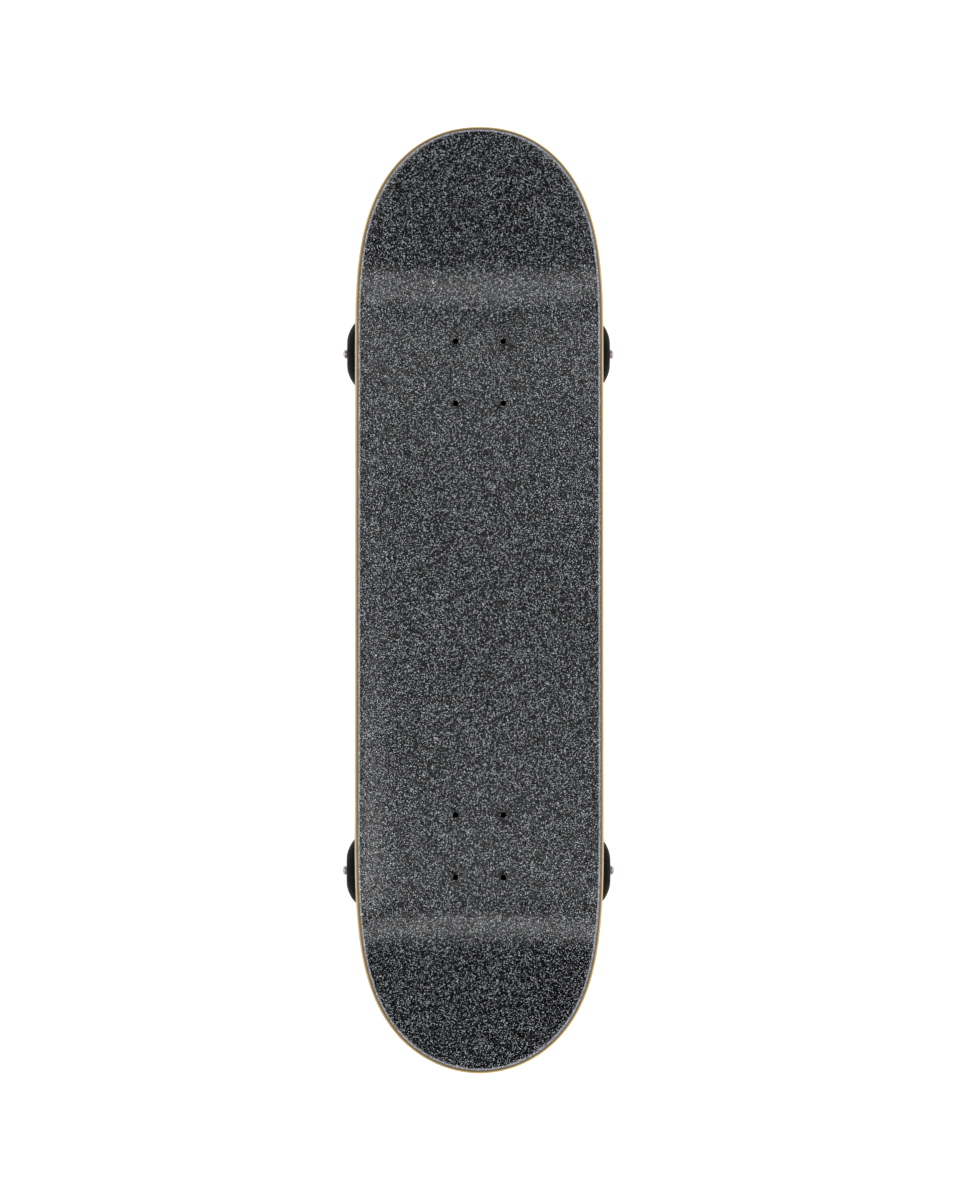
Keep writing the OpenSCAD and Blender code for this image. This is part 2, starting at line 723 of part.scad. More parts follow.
rear_truck() axle_nuts();  // rear_axle_nuts
rear_truck() speed_washers();  // rear_speed_washers
rear_truck() inner_races();  // rear_inner_races
rear_truck() spacers();  // rear_spacers
wheel_at(1, 1) wheel();  // front_left_wheel
wheel_at(1, 1) outer_races();  // front_left_outer_races
wheel_at(1, 1) shields();  // front_left_shields
wheel_at(1, 1) balls();  // front_left_balls
wheel_at(1, 1) cages();  // front_left_cages
wheel_at(1, -1) wheel();  // front_right_wheel
wheel_at(1, -1) outer_races();  // front_right_outer_races
wheel_at(1, -1) shields();  // front_right_shields
wheel_at(1, -1) balls();  // front_right_balls
wheel_at(1, -1) cages();  // front_right_cages
wheel_at(-1, 1) wheel();  // rear_left_wheel
wheel_at(-1, 1) outer_races();  // rear_left_outer_races
wheel_at(-1, 1) shields();  // rear_left_shields
wheel_at(-1, 1) balls();  // rear_left_balls
wheel_at(-1, 1) cages();  // rear_left_cages
wheel_at(-1, -1) wheel();  // rear_right_wheel
wheel_at(-1, -1) outer_races();  // rear_right_outer_races
wheel_at(-1, -1) shields();  // rear_right_shields
wheel_at(-1, -1) balls();  // rear_right_balls
wheel_at(-1, -1) cages();  // rear_right_cages
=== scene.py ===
"""A complete skateboard on a pale floor: gripped maple deck, two cast trucks and four urethane wheels."""

import math

import bmesh
import bpy
from mathutils import Matrix, Vector


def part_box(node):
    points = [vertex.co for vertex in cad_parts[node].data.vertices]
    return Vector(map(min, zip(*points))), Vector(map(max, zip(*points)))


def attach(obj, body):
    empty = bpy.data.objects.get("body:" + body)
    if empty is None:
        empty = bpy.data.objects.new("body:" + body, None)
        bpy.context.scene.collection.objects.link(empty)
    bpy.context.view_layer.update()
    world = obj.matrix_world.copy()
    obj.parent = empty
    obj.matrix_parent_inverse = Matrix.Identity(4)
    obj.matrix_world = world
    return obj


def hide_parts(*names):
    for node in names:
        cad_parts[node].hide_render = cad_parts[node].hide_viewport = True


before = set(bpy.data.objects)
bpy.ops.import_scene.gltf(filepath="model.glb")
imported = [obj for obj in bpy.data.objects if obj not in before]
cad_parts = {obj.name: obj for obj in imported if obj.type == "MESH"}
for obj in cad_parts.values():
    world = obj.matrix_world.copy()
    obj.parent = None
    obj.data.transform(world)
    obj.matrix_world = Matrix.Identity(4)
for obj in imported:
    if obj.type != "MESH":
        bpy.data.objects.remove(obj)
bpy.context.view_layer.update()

# ---- Camera ----
# It looks straight down at the deck from four metres, with the nose at the top of the picture.
camera_place = Vector((-0.125, 0.0403, 4.095))
camera_aim = Vector((0.0005, -0.0007, 0.095))
camera_data = bpy.data.cameras.new("camera")
camera_data.lens = 138.1
camera_data.clip_end = 50
camera = bpy.data.objects.new("camera", camera_data)
backward = (camera_place - camera_aim).normalized()
rightward = Vector((1, 0, 0)).cross(backward).normalized()
upward = backward.cross(rightward)
facing = Matrix((rightward, upward, backward)).transposed().to_4x4()
camera.matrix_world = Matrix.Translation(camera_place) @ facing
bpy.context.collection.objects.link(camera)
bpy.context.scene.camera = camera

# ---- Studio ----
# A white floor, a surround that is pale at the horizon and dark overhead, and three softboxes. The
# strip over the tail shows in the bend of the nose, and the strip over the nose in the tail's.
scene = bpy.context.scene
scene.view_settings.view_transform = "Standard"
surround = bpy.data.worlds.new("surround")
surround.use_nodes = True
sky = surround.node_tree
direction = sky.nodes.new("ShaderNodeTexCoord")
split_sky = sky.nodes.new("ShaderNodeSeparateXYZ")
sky.links.new(direction.outputs["Generated"], split_sky.inputs["Vector"])
ceiling = sky.nodes.new("ShaderNodeValToRGB")
ceiling.color_ramp.elements[0].position = 0.45
ceiling.color_ramp.elements[0].color = (1, 1, 1, 1)
ceiling.color_ramp.elements[1].position = 0.97
ceiling.color_ramp.elements[1].color = (0.03, 0.03, 0.03, 1)
sky.links.new(split_sky.outputs["Z"], ceiling.inputs["Fac"])
sky.links.new(ceiling.outputs["Color"], sky.nodes["Background"].inputs["Color"])
sky.nodes["Background"].inputs["Strength"].default_value = 0.25
scene.world = surround


def softbox(name, place, aim, size, power):
    """A rectangular area light that faces a point. Its size is across the board, then along it."""
    light = bpy.data.lights.new(name, "AREA")
    light.shape = "RECTANGLE"
    light.size, light.size_y = size
    light.energy = power
    lamp = bpy.data.objects.new(name, light)
    direction = Vector(aim) - Vector(place)
    lamp.matrix_world = Matrix.Translation(place) @ direction.to_track_quat("-Z", "Y").to_matrix().to_4x4()
    bpy.context.collection.objects.link(lamp)


softbox("tail_strip", (-1.9, 0, 7.7), (0.27, 0, 0.1), (10, 2.8), 430)
softbox("nose_strip", (1.95, 0, 7.8), (-0.27, 0, 0.1), (10, 1.8), 350)
softbox("rail_softbox", (-0.5, -3.8, 7.1), (-0.18, 0.08, 0.1), (0.6, 1.2), 30)


def new_material(name):
    """A material with its nodes, its links and its main shader."""
    material = bpy.data.materials.new(name)
    material.use_nodes = True
    tree = material.node_tree
    return material, tree.nodes, tree.links, tree.nodes["Principled BSDF"]


floor_half = 6
floor_shape = bmesh.new()
bmesh.ops.create_grid(floor_shape, x_segments=1, y_segments=1, size=floor_half)
floor_mesh = bpy.data.meshes.new("floor")
floor_shape.to_mesh(floor_mesh)
floor_shape.free()
floor = bpy.data.objects.new("floor", floor_mesh)
bpy.context.collection.objects.link(floor)
floor_paint, nodes, links, shader = new_material("floor_paint")
shader.inputs["Base Color"].default_value = (0.93, 0.93, 0.93, 1)
shader.inputs["Roughness"].default_value = 0.9
shader.inputs["Emission Color"].default_value = (1, 1, 1, 1)
shader.inputs["Emission Strength"].default_value = 0.45
floor_mesh.materials.append(floor_paint)

# ---- Deck plies ----
# Seven sheets of rotary-cut maple, glued and pressed together. Both ends kick up and the rails rise
# in a shallow concave. The rim is routed round, and plies 2, 4 and 6 have their grain set crosswise.
deck_length = 0.8148
deck_width = 0.2159
deck_thickness = 0.011
deck_middle_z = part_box("ply_1")[0][2] + deck_thickness / 2
flat_half_width = 0.030
concave_rise = 0.012
concave_at_tip = 0.35
rim_round = 0.0028
kick_angle = math.radians(20)
bend_radius = 0.170
bend_run = bend_radius * math.sin(kick_angle)
# For the nose, then the tail: where its bend and its taper begin, and the taper's two exponents
nose = {"bend": 0.2409, "taper": 0.2284, "fullness": 2.9, "roundness": 2.14}
tail = {"bend": 0.2568, "taper": 0.1714, "fullness": 4.0, "roundness": 1.94}
# The mesh of each sheet, with this share of its rows in each tapered end
sheet_rows = 150
sheet_columns = 34
tip_share = 0.36
last_angle = math.radians(89)
tip_half_width = 0.0004


def taper_reach(end, x):
    """How far along an end's taper a place is, from 0 to 1."""
    return min(1, max(0, (abs(x) - end["taper"]) / (deck_length / 2 - end["taper"])))


def station(u):
    """The place along the board of a row, with rows closer together towards each tip."""
    end = nose if u > 0 else tail
    share = (abs(u) - (1 - 2 * tip_share)) / (2 * tip_share)
    if share <= 0:
        return u / (1 - 2 * tip_share) * end["bend"]
    first = math.asin(taper_reach(end, end["bend"]) ** (end["fullness"] / 2))
    angle = first + (last_angle - first) * share
    reach = math.sin(angle) ** (2 / end["fullness"])
    return math.copysign(end["taper"] + reach * (deck_length / 2 - end["taper"]), u)


def half_width(x):
    """Half the outline's width at a place along the board."""
    end = nose if x > 0 else tail
    return deck_width / 2 * (1 - taper_reach(end, x) ** end["fullness"]) ** (1 / end["roundness"])


def deck_point(u, v, height, inset):
    """A point of the pressed deck: u along it, v across it, at a height over its middle surface."""
    x = station(u)
    end = nose if x > 0 else tail
    step = 1e-5
    near, far = station(u - step), station(u + step) if abs(u) < 1 else x
    across = Vector((far - near, half_width(near) - half_width(far)))
    normal = Vector((across.y, across.x)).normalized() if abs(u) < 1 else Vector((math.copysign(1, u), 0))
    x -= inset * normal.x
    y = v * max(tip_half_width, half_width(station(u)) - inset * abs(normal.y))
    past = max(0, abs(station(u)) - end["bend"])
    slope = math.asin(min(past, bend_run) / bend_radius)
    rise = bend_radius * (1 - math.cos(slope)) + max(0, past - bend_run) * math.tan(kick_angle)
    beyond = max(0, abs(y) - flat_half_width) / (deck_width / 2 - flat_half_width)
    fade = 1 - (1 - concave_at_tip) * past / (deck_length / 2 - end["bend"])
    up = height + concave_rise * beyond**2 * fade
    return Vector((x, y, deck_middle_z + rise + up / math.cos(slope)))


def rim_inset(height):
    """How far the routed rim stands in from the outline at a height over the middle surface."""
    return rim_round * (1 - math.sqrt(max(0, 1 - (height / (deck_thickness / 2)) ** 2)))


def deck_sheet(name, levels):
    """A closed sheet of the deck's outline through levels of (height, inset, edge tone), from the lowest up.
    """
    sheet = bmesh.new()
    edge_tone = sheet.verts.layers.float.new("edge_tone")
    bmesh.ops.create_grid(sheet, x_segments=sheet_rows, y_segments=sheet_columns, size=1)
    bottom_faces = sheet.faces[:]
    for level in range(1, len(levels)):
        grown = bmesh.ops.extrude_face_region(sheet, geom=bottom_faces if level == 1 else top_faces,
                                              use_keep_orig=level == 1)
        raised = [part for part in grown["geom"] if isinstance(part, bmesh.types.BMVert)]
        top_faces = [part for part in grown["geom"] if isinstance(part, bmesh.types.BMFace)]
        bmesh.ops.translate(sheet, verts=raised, vec=(0, 0, 1))
    for vert in sheet.verts:
        height, inset, vert[edge_tone] = levels[round(vert.co.z)]
        vert.co = deck_point(vert.co.x, vert.co.y, height, inset)
    bmesh.ops.recalc_face_normals(sheet, faces=sheet.faces[:])
    mesh = bpy.data.meshes.new(name)
    sheet.to_mesh(mesh)
    sheet.free()
    return mesh


def place_piece(mesh, name, material, slot, body, *nodes_replaced, place=Matrix(), sharp=35):
    """Puts a copy of a mesh in the scene, shaded smooth between its sharp edges, on its CAD body."""
    mesh = mesh.copy()
    mesh.transform(place)
    mesh.shade_smooth()
    mesh.set_sharp_from_angle(angle=math.radians(sharp))
    mesh.materials.clear()
    mesh.materials.append(material)
    shown = bpy.data.objects.new(name, mesh)
    bpy.context.collection.objects.link(shown)
    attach(shown, body)
    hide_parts(*nodes_replaced)
    return shown


def solid(shape, name):
    """The mesh of a finished bmesh, with its doubles merged and its faces pointing outwards."""
    bmesh.ops.remove_doubles(shape, verts=shape.verts[:], dist=1e-6)
    bmesh.ops.recalc_face_normals(shape, faces=shape.faces[:])
    mesh = bpy.data.meshes.new(name)
    shape.to_mesh(mesh)
    shape.free()
    return mesh


def carve(mesh, cutter, operation="DIFFERENCE"):
    """The mesh after a boolean with another closed mesh."""
    base = bpy.data.objects.new("carved", mesh)
    tool = bpy.data.objects.new("cutter", cutter)
    for thing in (base, tool):
        bpy.context.collection.objects.link(thing)
    cut = base.modifiers.new("cut", "BOOLEAN")
    cut.object = tool
    cut.operation = operation
    cut.solver = "EXACT"
    carved = bpy.data.meshes.new_from_object(base.evaluated_get(bpy.context.evaluated_depsgraph_get()))
    for thing in (base, tool):
        bpy.data.objects.remove(thing)
    return carved


bolt_pattern = (0.053975, 0.041275)
bolt_r = 0.0024
bolt_head_r = 0.0045
tail_side, nose_side = (corner[0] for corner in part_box("mounting_bolts"))
pattern_inset = bolt_head_r + bolt_pattern[0] / 2
pattern_middles = (nose_side - pattern_inset, tail_side + pattern_inset)
bolt_places = [
    (middle + side_x * bolt_pattern[0] / 2, side_y * bolt_pattern[1] / 2)
    for middle in pattern_middles for side_x in (-1, 1) for side_y in (-1, 1)
]


def bolt_cutters(diameter):
    """Eight upright rods that drill the truck bolts' holes."""
    rods = bmesh.new()
    for x, y in bolt_places:
        bmesh.ops.create_cone(rods, segments=40, radius1=diameter / 2, radius2=diameter / 2, depth=0.06,
                              cap_ends=True, matrix=Matrix.Translation((x, y, deck_middle_z)))
    return solid(rods, "bolt_cutters")


# The dark brown mixed into the top ply's rim just under the grip
rim_dark_brown = (0.15, 0.108, 0.040)
grain_stretch = (3, 60, 60)


def maple(name, light, dark, turned=False):
    """Sealed maple: fine streaks along the grain and broad tone changes, mixed to a dark brown along the top
    ply's rim just under the grip.
    """
    material, nodes, links, shader = new_material(name)
    coords = nodes.new("ShaderNodeTexCoord")
    grain_map = nodes.new("ShaderNodeMapping")
    along, across, upward = grain_stretch
    grain_map.inputs["Scale"].default_value = (across, along, upward) if turned else grain_stretch
    links.new(coords.outputs["Object"], grain_map.inputs["Vector"])
    streaks = nodes.new("ShaderNodeTexNoise")
    streaks.inputs["Scale"].default_value = 9
    streaks.inputs["Detail"].default_value = 8
    streaks.inputs["Roughness"].default_value = 0.65
    streaks.inputs["Distortion"].default_value = 0.4
    links.new(grain_map.outputs["Vector"], streaks.inputs["Vector"])
    figure = nodes.new("ShaderNodeTexNoise")
    figure.inputs["Scale"].default_value = 1.1
    figure.inputs["Detail"].default_value = 4
    links.new(grain_map.outputs["Vector"], figure.inputs["Vector"])
    blend = nodes.new("ShaderNodeMath")
    blend.operation = "MULTIPLY_ADD"
    blend.inputs[1].default_value = 0.6
    links.new(streaks.outputs["Fac"], blend.inputs[0])
    halved = nodes.new("ShaderNodeMath")
    halved.operation = "MULTIPLY"
    halved.inputs[1].default_value = 0.4
    links.new(figure.outputs["Fac"], halved.inputs[0])
    links.new(halved.outputs["Value"], blend.inputs[2])
    ramp = nodes.new("ShaderNodeValToRGB")
    ramp.color_ramp.elements[0].position = 0.36
    ramp.color_ramp.elements[0].color = (*dark, 1)
    ramp.color_ramp.elements[1].position = 0.62
    ramp.color_ramp.elements[1].color = (*light, 1)
    links.new(blend.outputs["Value"], ramp.inputs["Fac"])
    edge_tone = nodes.new("ShaderNodeAttribute")
    edge_tone.attribute_name = "edge_tone"
    burnish = nodes.new("ShaderNodeMix")
    burnish.data_type = "RGBA"
    burnish.inputs["B"].default_value = (*rim_dark_brown, 1)
    links.new(edge_tone.outputs["Fac"], burnish.inputs["Factor"])
    links.new(ramp.outputs["Color"], burnish.inputs["A"])
    links.new(burnish.outputs["Result"], shader.inputs["Base Color"])
    gloss = nodes.new("ShaderNodeMapRange")
    gloss.inputs["To Min"].default_value = 0.32
    gloss.inputs["To Max"].default_value = 0.55
    links.new(streaks.outputs["Fac"], gloss.inputs["Value"])
    links.new(gloss.outputs["Result"], shader.inputs["Roughness"])
    bump = nodes.new("ShaderNodeBump")
    bump.inputs["Strength"].default_value = 0.25
    bump.inputs["Distance"].default_value = 0.0002
    links.new(streaks.outputs["Fac"], bump.inputs["Height"])
    links.new(bump.outputs["Normal"], shader.inputs["Normal"])
    shader.inputs["Specular IOR Level"].default_value = 0.2
    return material


maple_face = maple("maple_long_grain", (0.70, 0.50, 0.26), (0.52, 0.34, 0.15))
maple_cross = maple("maple_cross_grain", (0.74, 0.53, 0.22), (0.58, 0.38, 0.14), turned=True)
maple_face.node_tree.nodes["Principled BSDF"].inputs["Coat Weight"].default_value = 0.2
maple_amber = maple("maple_amber_stain", (0.74, 0.53, 0.24), (0.58, 0.39, 0.14))
ply_woods = [(maple_face, "maple"), (maple_cross, "maple_core")] * 3 + [(maple_amber, "maple_stained")]
ply_thickness = deck_thickness / len(ply_woods)
bolt_hole = 0.0052
# How far a sheet's edge is mixed to a dark brown at each height, as shares of its thickness
bare_edge = {0: 0, 0.4: 0, 0.75: 0, 1: 0}
top_edge = {0: 0, 0.4: 0.3, 0.75: 1, 1: 1}
for number, (wood, wood_slot) in enumerate(ply_woods, 1):
    low = -deck_thickness / 2 + (number - 1) * ply_thickness
    levels = []
    for share, browned in (top_edge if number == len(ply_woods) else bare_edge).items():
        height = low + share * ply_thickness
        levels.append((height, rim_inset(height), browned))
    veneer = carve(deck_sheet(f"veneer_{number}", levels), bolt_cutters(bolt_hole))
    place_piece(veneer, f"ply_{number}_veneer", wood, wood_slot, "deck", f"ply_{number}")

# ---- Grip tape ----
# One sheet of black silicon-carbide grit, pressed on and trimmed. Filing the rim leaves a worn,
# pale edge. A small hole is punched over each truck bolt.
grip_thickness = 0.0009
grip_hole = 0.0064
# Grains per metre, and the power that leaves few of the coarse ones painted near white as glints
coarse_grains = 2200
fine_grains = 4600
grain_contrast = 28
# From here outward the kicks' grit is painted darker: painted shade, for kicks that tilt away from the light
kick_shade_start, kick_shade_full = 0.25, 0.31
grit_dark = (0.0010, 0.0011, 0.0013)
# Painted glints: the near-white colour of the few bright grains, standing in for the sparkle of the black
# grit
painted_glint_white = (0.77, 0.81, 0.885)
filed_grey = (0.54, 0.55, 0.64)
warm_tint = (1, 0.93, 0.84)
cool_tint = (0.86, 0.94, 1)


def grip_finish():
    """Coarse grit: near-black grains with painted glints, a few coloured near white, painted shade darkening
    the kicks, and a worn, pale filed edge.
    """
    material, nodes, links, shader = new_material("grip_grit")
    coords = nodes.new("ShaderNodeTexCoord")

    def grains(scale):
        """Three random numbers for each grain."""
        cells = nodes.new("ShaderNodeTexVoronoi")
        cells.inputs["Scale"].default_value = scale
        links.new(coords.outputs["Object"], cells.inputs["Vector"])
        channels = nodes.new("ShaderNodeSeparateColor")
        links.new(cells.outputs["Color"], channels.inputs["Color"])
        return channels

    coarse = grains(coarse_grains)
    fine = grains(fine_grains)
    level = nodes.new("ShaderNodeMath")
    level.operation = "POWER"
    level.inputs[1].default_value = grain_contrast
    links.new(coarse.outputs["Red"], level.inputs[0])
    brightness = nodes.new("ShaderNodeMapRange")
    brightness.inputs["To Min"].default_value = 0.5
    brightness.inputs["To Max"].default_value = 1.5
    links.new(fine.outputs["Red"], brightness.inputs["Value"])
    patches = nodes.new("ShaderNodeTexNoise")
    patches.inputs["Scale"].default_value = 30
    patches.inputs["Detail"].default_value = 3
    links.new(coords.outputs["Object"], patches.inputs["Vector"])
    mottle = nodes.new("ShaderNodeMapRange")
    mottle.inputs["To Min"].default_value = 0.8
    mottle.inputs["To Max"].default_value = 1.2
    links.new(patches.outputs["Fac"], mottle.inputs["Value"])
    # Painted shade: the grit's colour is darkened outward along the kicks, which tilt away from the light
    axes = nodes.new("ShaderNodeSeparateXYZ")
    links.new(coords.outputs["Object"], axes.inputs["Vector"])
    reach = nodes.new("ShaderNodeMath")
    reach.operation = "ABSOLUTE"
    links.new(axes.outputs["X"], reach.inputs[0])
    kick_shade = nodes.new("ShaderNodeMapRange")
    kick_shade.interpolation_type = "SMOOTHSTEP"
    kick_shade_range = {"From Min": kick_shade_start, "From Max": kick_shade_full, "To Min": 1, "To Max": 0.86}
    for socket, setting in kick_shade_range.items():
        kick_shade.inputs[socket].default_value = setting
    links.new(reach.outputs["Value"], kick_shade.inputs["Value"])
    value = level
    for factor in (brightness, mottle, kick_shade):
        product = nodes.new("ShaderNodeMath")
        product.operation = "MULTIPLY"
        links.new(value.outputs["Value"], product.inputs[0])
        links.new(factor.outputs["Result"], product.inputs[1])
        value = product
    # Painted glints: the ramp turns the few bright coarse grains near white
    ramp = nodes.new("ShaderNodeValToRGB")
    ramp.color_ramp.elements[0].color = (*grit_dark, 1)
    ramp.color_ramp.elements[1].position = 0.28
    ramp.color_ramp.elements[1].color = (*painted_glint_white, 1)
    links.new(value.outputs["Value"], ramp.inputs["Fac"])
    edge_tone = nodes.new("ShaderNodeAttribute")
    edge_tone.attribute_name = "edge_tone"
    filed = nodes.new("ShaderNodeMix")
    filed.data_type = "RGBA"
    filed.inputs["B"].default_value = (*filed_grey, 1)
    speckle = nodes.new("ShaderNodeMath")
    speckle.operation = "MULTIPLY"
    links.new(edge_tone.outputs["Fac"], speckle.inputs[0])
    links.new(coarse.outputs["Green"], speckle.inputs[1])
    links.new(speckle.outputs["Value"], filed.inputs["Factor"])
    tint = nodes.new("ShaderNodeMix")
    tint.data_type = "RGBA"
    tint.inputs["A"].default_value = (*warm_tint, 1)
    tint.inputs["B"].default_value = (*cool_tint, 1)
    links.new(coarse.outputs["Blue"], tint.inputs["Factor"])
    tinted = nodes.new("ShaderNodeMix")
    tinted.data_type = "RGBA"
    tinted.blend_type = "MULTIPLY"
    tinted.inputs["Factor"].default_value = 1
    links.new(ramp.outputs["Color"], tinted.inputs["A"])
    links.new(tint.outputs["Result"], tinted.inputs["B"])
    links.new(tinted.outputs["Result"], filed.inputs["A"])
    links.new(filed.outputs["Result"], shader.inputs["Base Color"])
    bump = nodes.new("ShaderNodeBump")
    bump.inputs["Strength"].default_value = 0.5
    bump.inputs["Distance"].default_value = 0.0002
    links.new(fine.outputs["Green"], bump.inputs["Height"])
    links.new(bump.outputs["Normal"], shader.inputs["Normal"])
    shader.inputs["Roughness"].default_value = 0.6
    shader.inputs["Specular IOR Level"].default_value = 0.0
    facets = nodes.new("ShaderNodeMath")
    facets.operation = "POWER"
    facets.inputs[1].default_value = 3
    links.new(coarse.outputs["Green"], facets.inputs[0])
    glint = nodes.new("ShaderNodeMath")
    glint.operation = "MULTIPLY"
    glint.use_clamp = True
    glint.inputs[1].default_value = 1.75
    links.new(facets.outputs["Value"], glint.inputs[0])
    links.new(glint.outputs["Value"], shader.inputs["Coat Weight"])
    shader.inputs["Coat Roughness"].default_value = 0.21
    return material


grit = grip_finish()
grip_low = deck_thickness / 2
grip_sheet = deck_sheet("grip", [
    (grip_low, rim_round, 0.0),
    (grip_low + 0.3 * grip_thickness, rim_round + 0.0002, 0.2),
    (grip_low + 0.45 * grip_thickness, rim_round + 0.0004, 1.0),
    (grip_low + 0.9 * grip_thickness, rim_round + 0.0014, 0.9),
    (grip_low + grip_thickness, rim_round + 0.0020, 0.0),
])
grip_sheet = carve(grip_sheet, bolt_cutters(grip_hole))
place_piece(grip_sheet, "grip_sheet", grit, "grit", "deck", "grip_tape")

# ---- Turned and threaded parts ----
# Each truck bolt is a countersunk steel screw, blackened, with a cross recess and a rolled thread.


def lathe(profile, steps=64):
    """A turned solid about Z from (radius, height) points: a ring if both its ends are off the axis."""
    turned = bmesh.new()
    outline = [turned.verts.new((radius, 0, height)) for radius, height in profile]
    pairs = list(zip(outline, outline[1:]))
    if profile[0][0] > 0 and profile[-1][0] > 0:
        pairs.append((outline[-1], outline[0]))
    edges = [turned.edges.new(pair) for pair in pairs]
    bmesh.ops.spin(turned, geom=outline + edges, axis=(0, 0, 1), cent=(0, 0, 0), angle=2 * math.pi,
                   steps=steps, use_merge=True)
    bmesh.ops.dissolve_degenerate(turned, edges=turned.edges[:], dist=1e-7)
    return solid(turned, "turned")


def thread(radius, pitch, low, high, steps=28):
    """A threaded rod about Z: one helical groove, closed at both ends."""
    depth = 0.6 * pitch
    bar = bmesh.new()
    crests = round((high - low) / pitch)
    flank = [bar.verts.new((radius - depth * (step % 2), 0, low + step * pitch / 2))
             for step in range(2 * crests)]
    edges = [bar.edges.new(pair) for pair in zip(flank, flank[1:])]
    bmesh.ops.spin(bar, geom=flank + edges, axis=(0, 0, 1), cent=(0, 0, 0), angle=2 * math.pi, steps=steps,
                   dvec=(0, 0, pitch / steps))
    bmesh.ops.remove_doubles(bar, verts=bar.verts[:], dist=1e-6)
    bmesh.ops.holes_fill(bar, edges=[edge for edge in bar.edges if edge.is_boundary], sides=0)
    return solid(bar, "thread")


def moved(mesh, place):
    """A mesh after it has been put somewhere else."""
    mesh.transform(place)
    return mesh


def join(*meshes):
    """One mesh that holds several, each still its own solid."""
    whole = bmesh.new()
    for mesh in meshes:
        whole.from_mesh(mesh)
    joined = bpy.data.meshes.new("joined")
    whole.to_mesh(joined)
    whole.free()
    return joined


def block(size, place=Matrix(), rounding=0.0):
    """A box of the given size about a place, with rounded edges if asked."""
    box = bmesh.new()
    bmesh.ops.create_cube(box, size=1, matrix=place @ Matrix.Diagonal((*size, 1)))
    if rounding:
        bmesh.ops.bevel(box, geom=box.edges[:], offset=rounding, affect="EDGES", segments=3, profile=0.5,
                        material=-1)
    return solid(box, "block")


def rod(radius, low, high, place=Matrix(), far_radius=None, segments=64):
    """A round rod or cone along Z, from low to high."""
    bar = bmesh.new()
    bmesh.ops.create_cone(bar, segments=segments, radius1=radius, cap_ends=True, depth=high - low,
                          radius2=radius if far_radius is None else far_radius,
                          matrix=place @ Matrix.Translation((0, 0, (low + high) / 2)))
    return solid(bar, "rod")


def worn(name, colour, patch_colour, scale, rough, metallic=0.0, bump_depth=0.00005, bump_scale=900):
    """A finish with two tones in patches, a gloss that varies with them, and a fine surface grain."""
    material, nodes, links, shader = new_material(name)
    coords = nodes.new("ShaderNodeTexCoord")
    patches = nodes.new("ShaderNodeTexNoise")
    patches.inputs["Scale"].default_value = scale
    patches.inputs["Detail"].default_value = 7
    patches.inputs["Roughness"].default_value = 0.6
    links.new(coords.outputs["Object"], patches.inputs["Vector"])
    ramp = nodes.new("ShaderNodeValToRGB")
    ramp.color_ramp.elements[0].position = 0.4
    ramp.color_ramp.elements[1].position = 0.7
    ramp.color_ramp.elements[0].color = (*colour, 1)
    ramp.color_ramp.elements[1].color = (*patch_colour, 1)
    links.new(patches.outputs["Fac"], ramp.inputs["Fac"])
    links.new(ramp.outputs["Color"], shader.inputs["Base Color"])
    gloss = nodes.new("ShaderNodeMapRange")
    gloss.inputs["To Min"].default_value, gloss.inputs["To Max"].default_value = rough
    links.new(patches.outputs["Fac"], gloss.inputs["Value"])
    links.new(gloss.outputs["Result"], shader.inputs["Roughness"])
    grain = nodes.new("ShaderNodeTexNoise")
    grain.inputs["Scale"].default_value = bump_scale
    grain.inputs["Detail"].default_value = 4
    links.new(coords.outputs["Object"], grain.inputs["Vector"])
    bump = nodes.new("ShaderNodeBump")
    bump.inputs["Strength"].default_value = 0.6
    bump.inputs["Distance"].default_value = bump_depth
    links.new(grain.outputs["Fac"], bump.inputs["Height"])
    links.new(bump.outputs["Normal"], shader.inputs["Normal"])
    shader.inputs["Metallic"].default_value = metallic
    return material


black_oxide = worn("black_oxide", (0.014, 0.014, 0.012), (0.05, 0.048, 0.042),
                   scale=700, rough=(0.32, 0.5), metallic=0.6)
deck_top_z = deck_middle_z + deck_thickness / 2
bolt_length = 0.028
head_depth = bolt_head_r - bolt_r
recess = (0.0046, 0.0011, 0.0018)
screw = join(
    lathe([(0, -bolt_length + 0.012), (bolt_r, -bolt_length + 0.012), (bolt_r, -head_depth),
           (bolt_head_r - 0.0002, -0.0002), (bolt_head_r - 0.0003, 0), (0, 0)], 40),
    thread(bolt_r, 0.0008, -bolt_length + 0.0002, -bolt_length + 0.0128),
)
for arm in (recess, (recess[1], recess[0], recess[2])):
    screw = carve(screw, block(arm))
screws = join(*[moved(screw.copy(), Matrix.Translation((x, y, deck_top_z)) @ Matrix.Rotation(0.9 * i, 4, "Z"))
                for i, (x, y) in enumerate(bolt_places)])
place_piece(screws, "truck_bolt_set", black_oxide, "black_steel", "deck", "mounting_bolts")

# ---- Lock nuts under the baseplates ----
# Each has six chamfered flats and a crimped collar that holds a nylon ring against the thread.


def lock_nut(flats, height, collar_r, collar_height, bore_r):
    """A hexagonal nut standing on z = 0, with its collar on top."""
    corner = flats / math.sqrt(3)
    chamfer = 0.32 * (corner - flats / 2)
    hexagon = rod(corner, 0, height, segments=6)
    barrel = lathe([(0, 0), (flats / 2 + chamfer, 0), (corner + 0.0001, 0.14 * flats),
                    (corner + 0.0001, height - 0.14 * flats), (flats / 2 + chamfer, height), (0, height)])
    body = carve(hexagon, barrel, "INTERSECT")
    crimp = 0.3 * collar_height
    foot = height - 0.0005
    top = height + collar_height
    collar = lathe([(bore_r + 0.0004, foot), (collar_r, foot), (collar_r, top - crimp),
                    (collar_r - crimp, top), (bore_r + 0.0006, top)], 48)
    return join(carve(body, rod(bore_r, -0.001, height + 0.001)), collar)


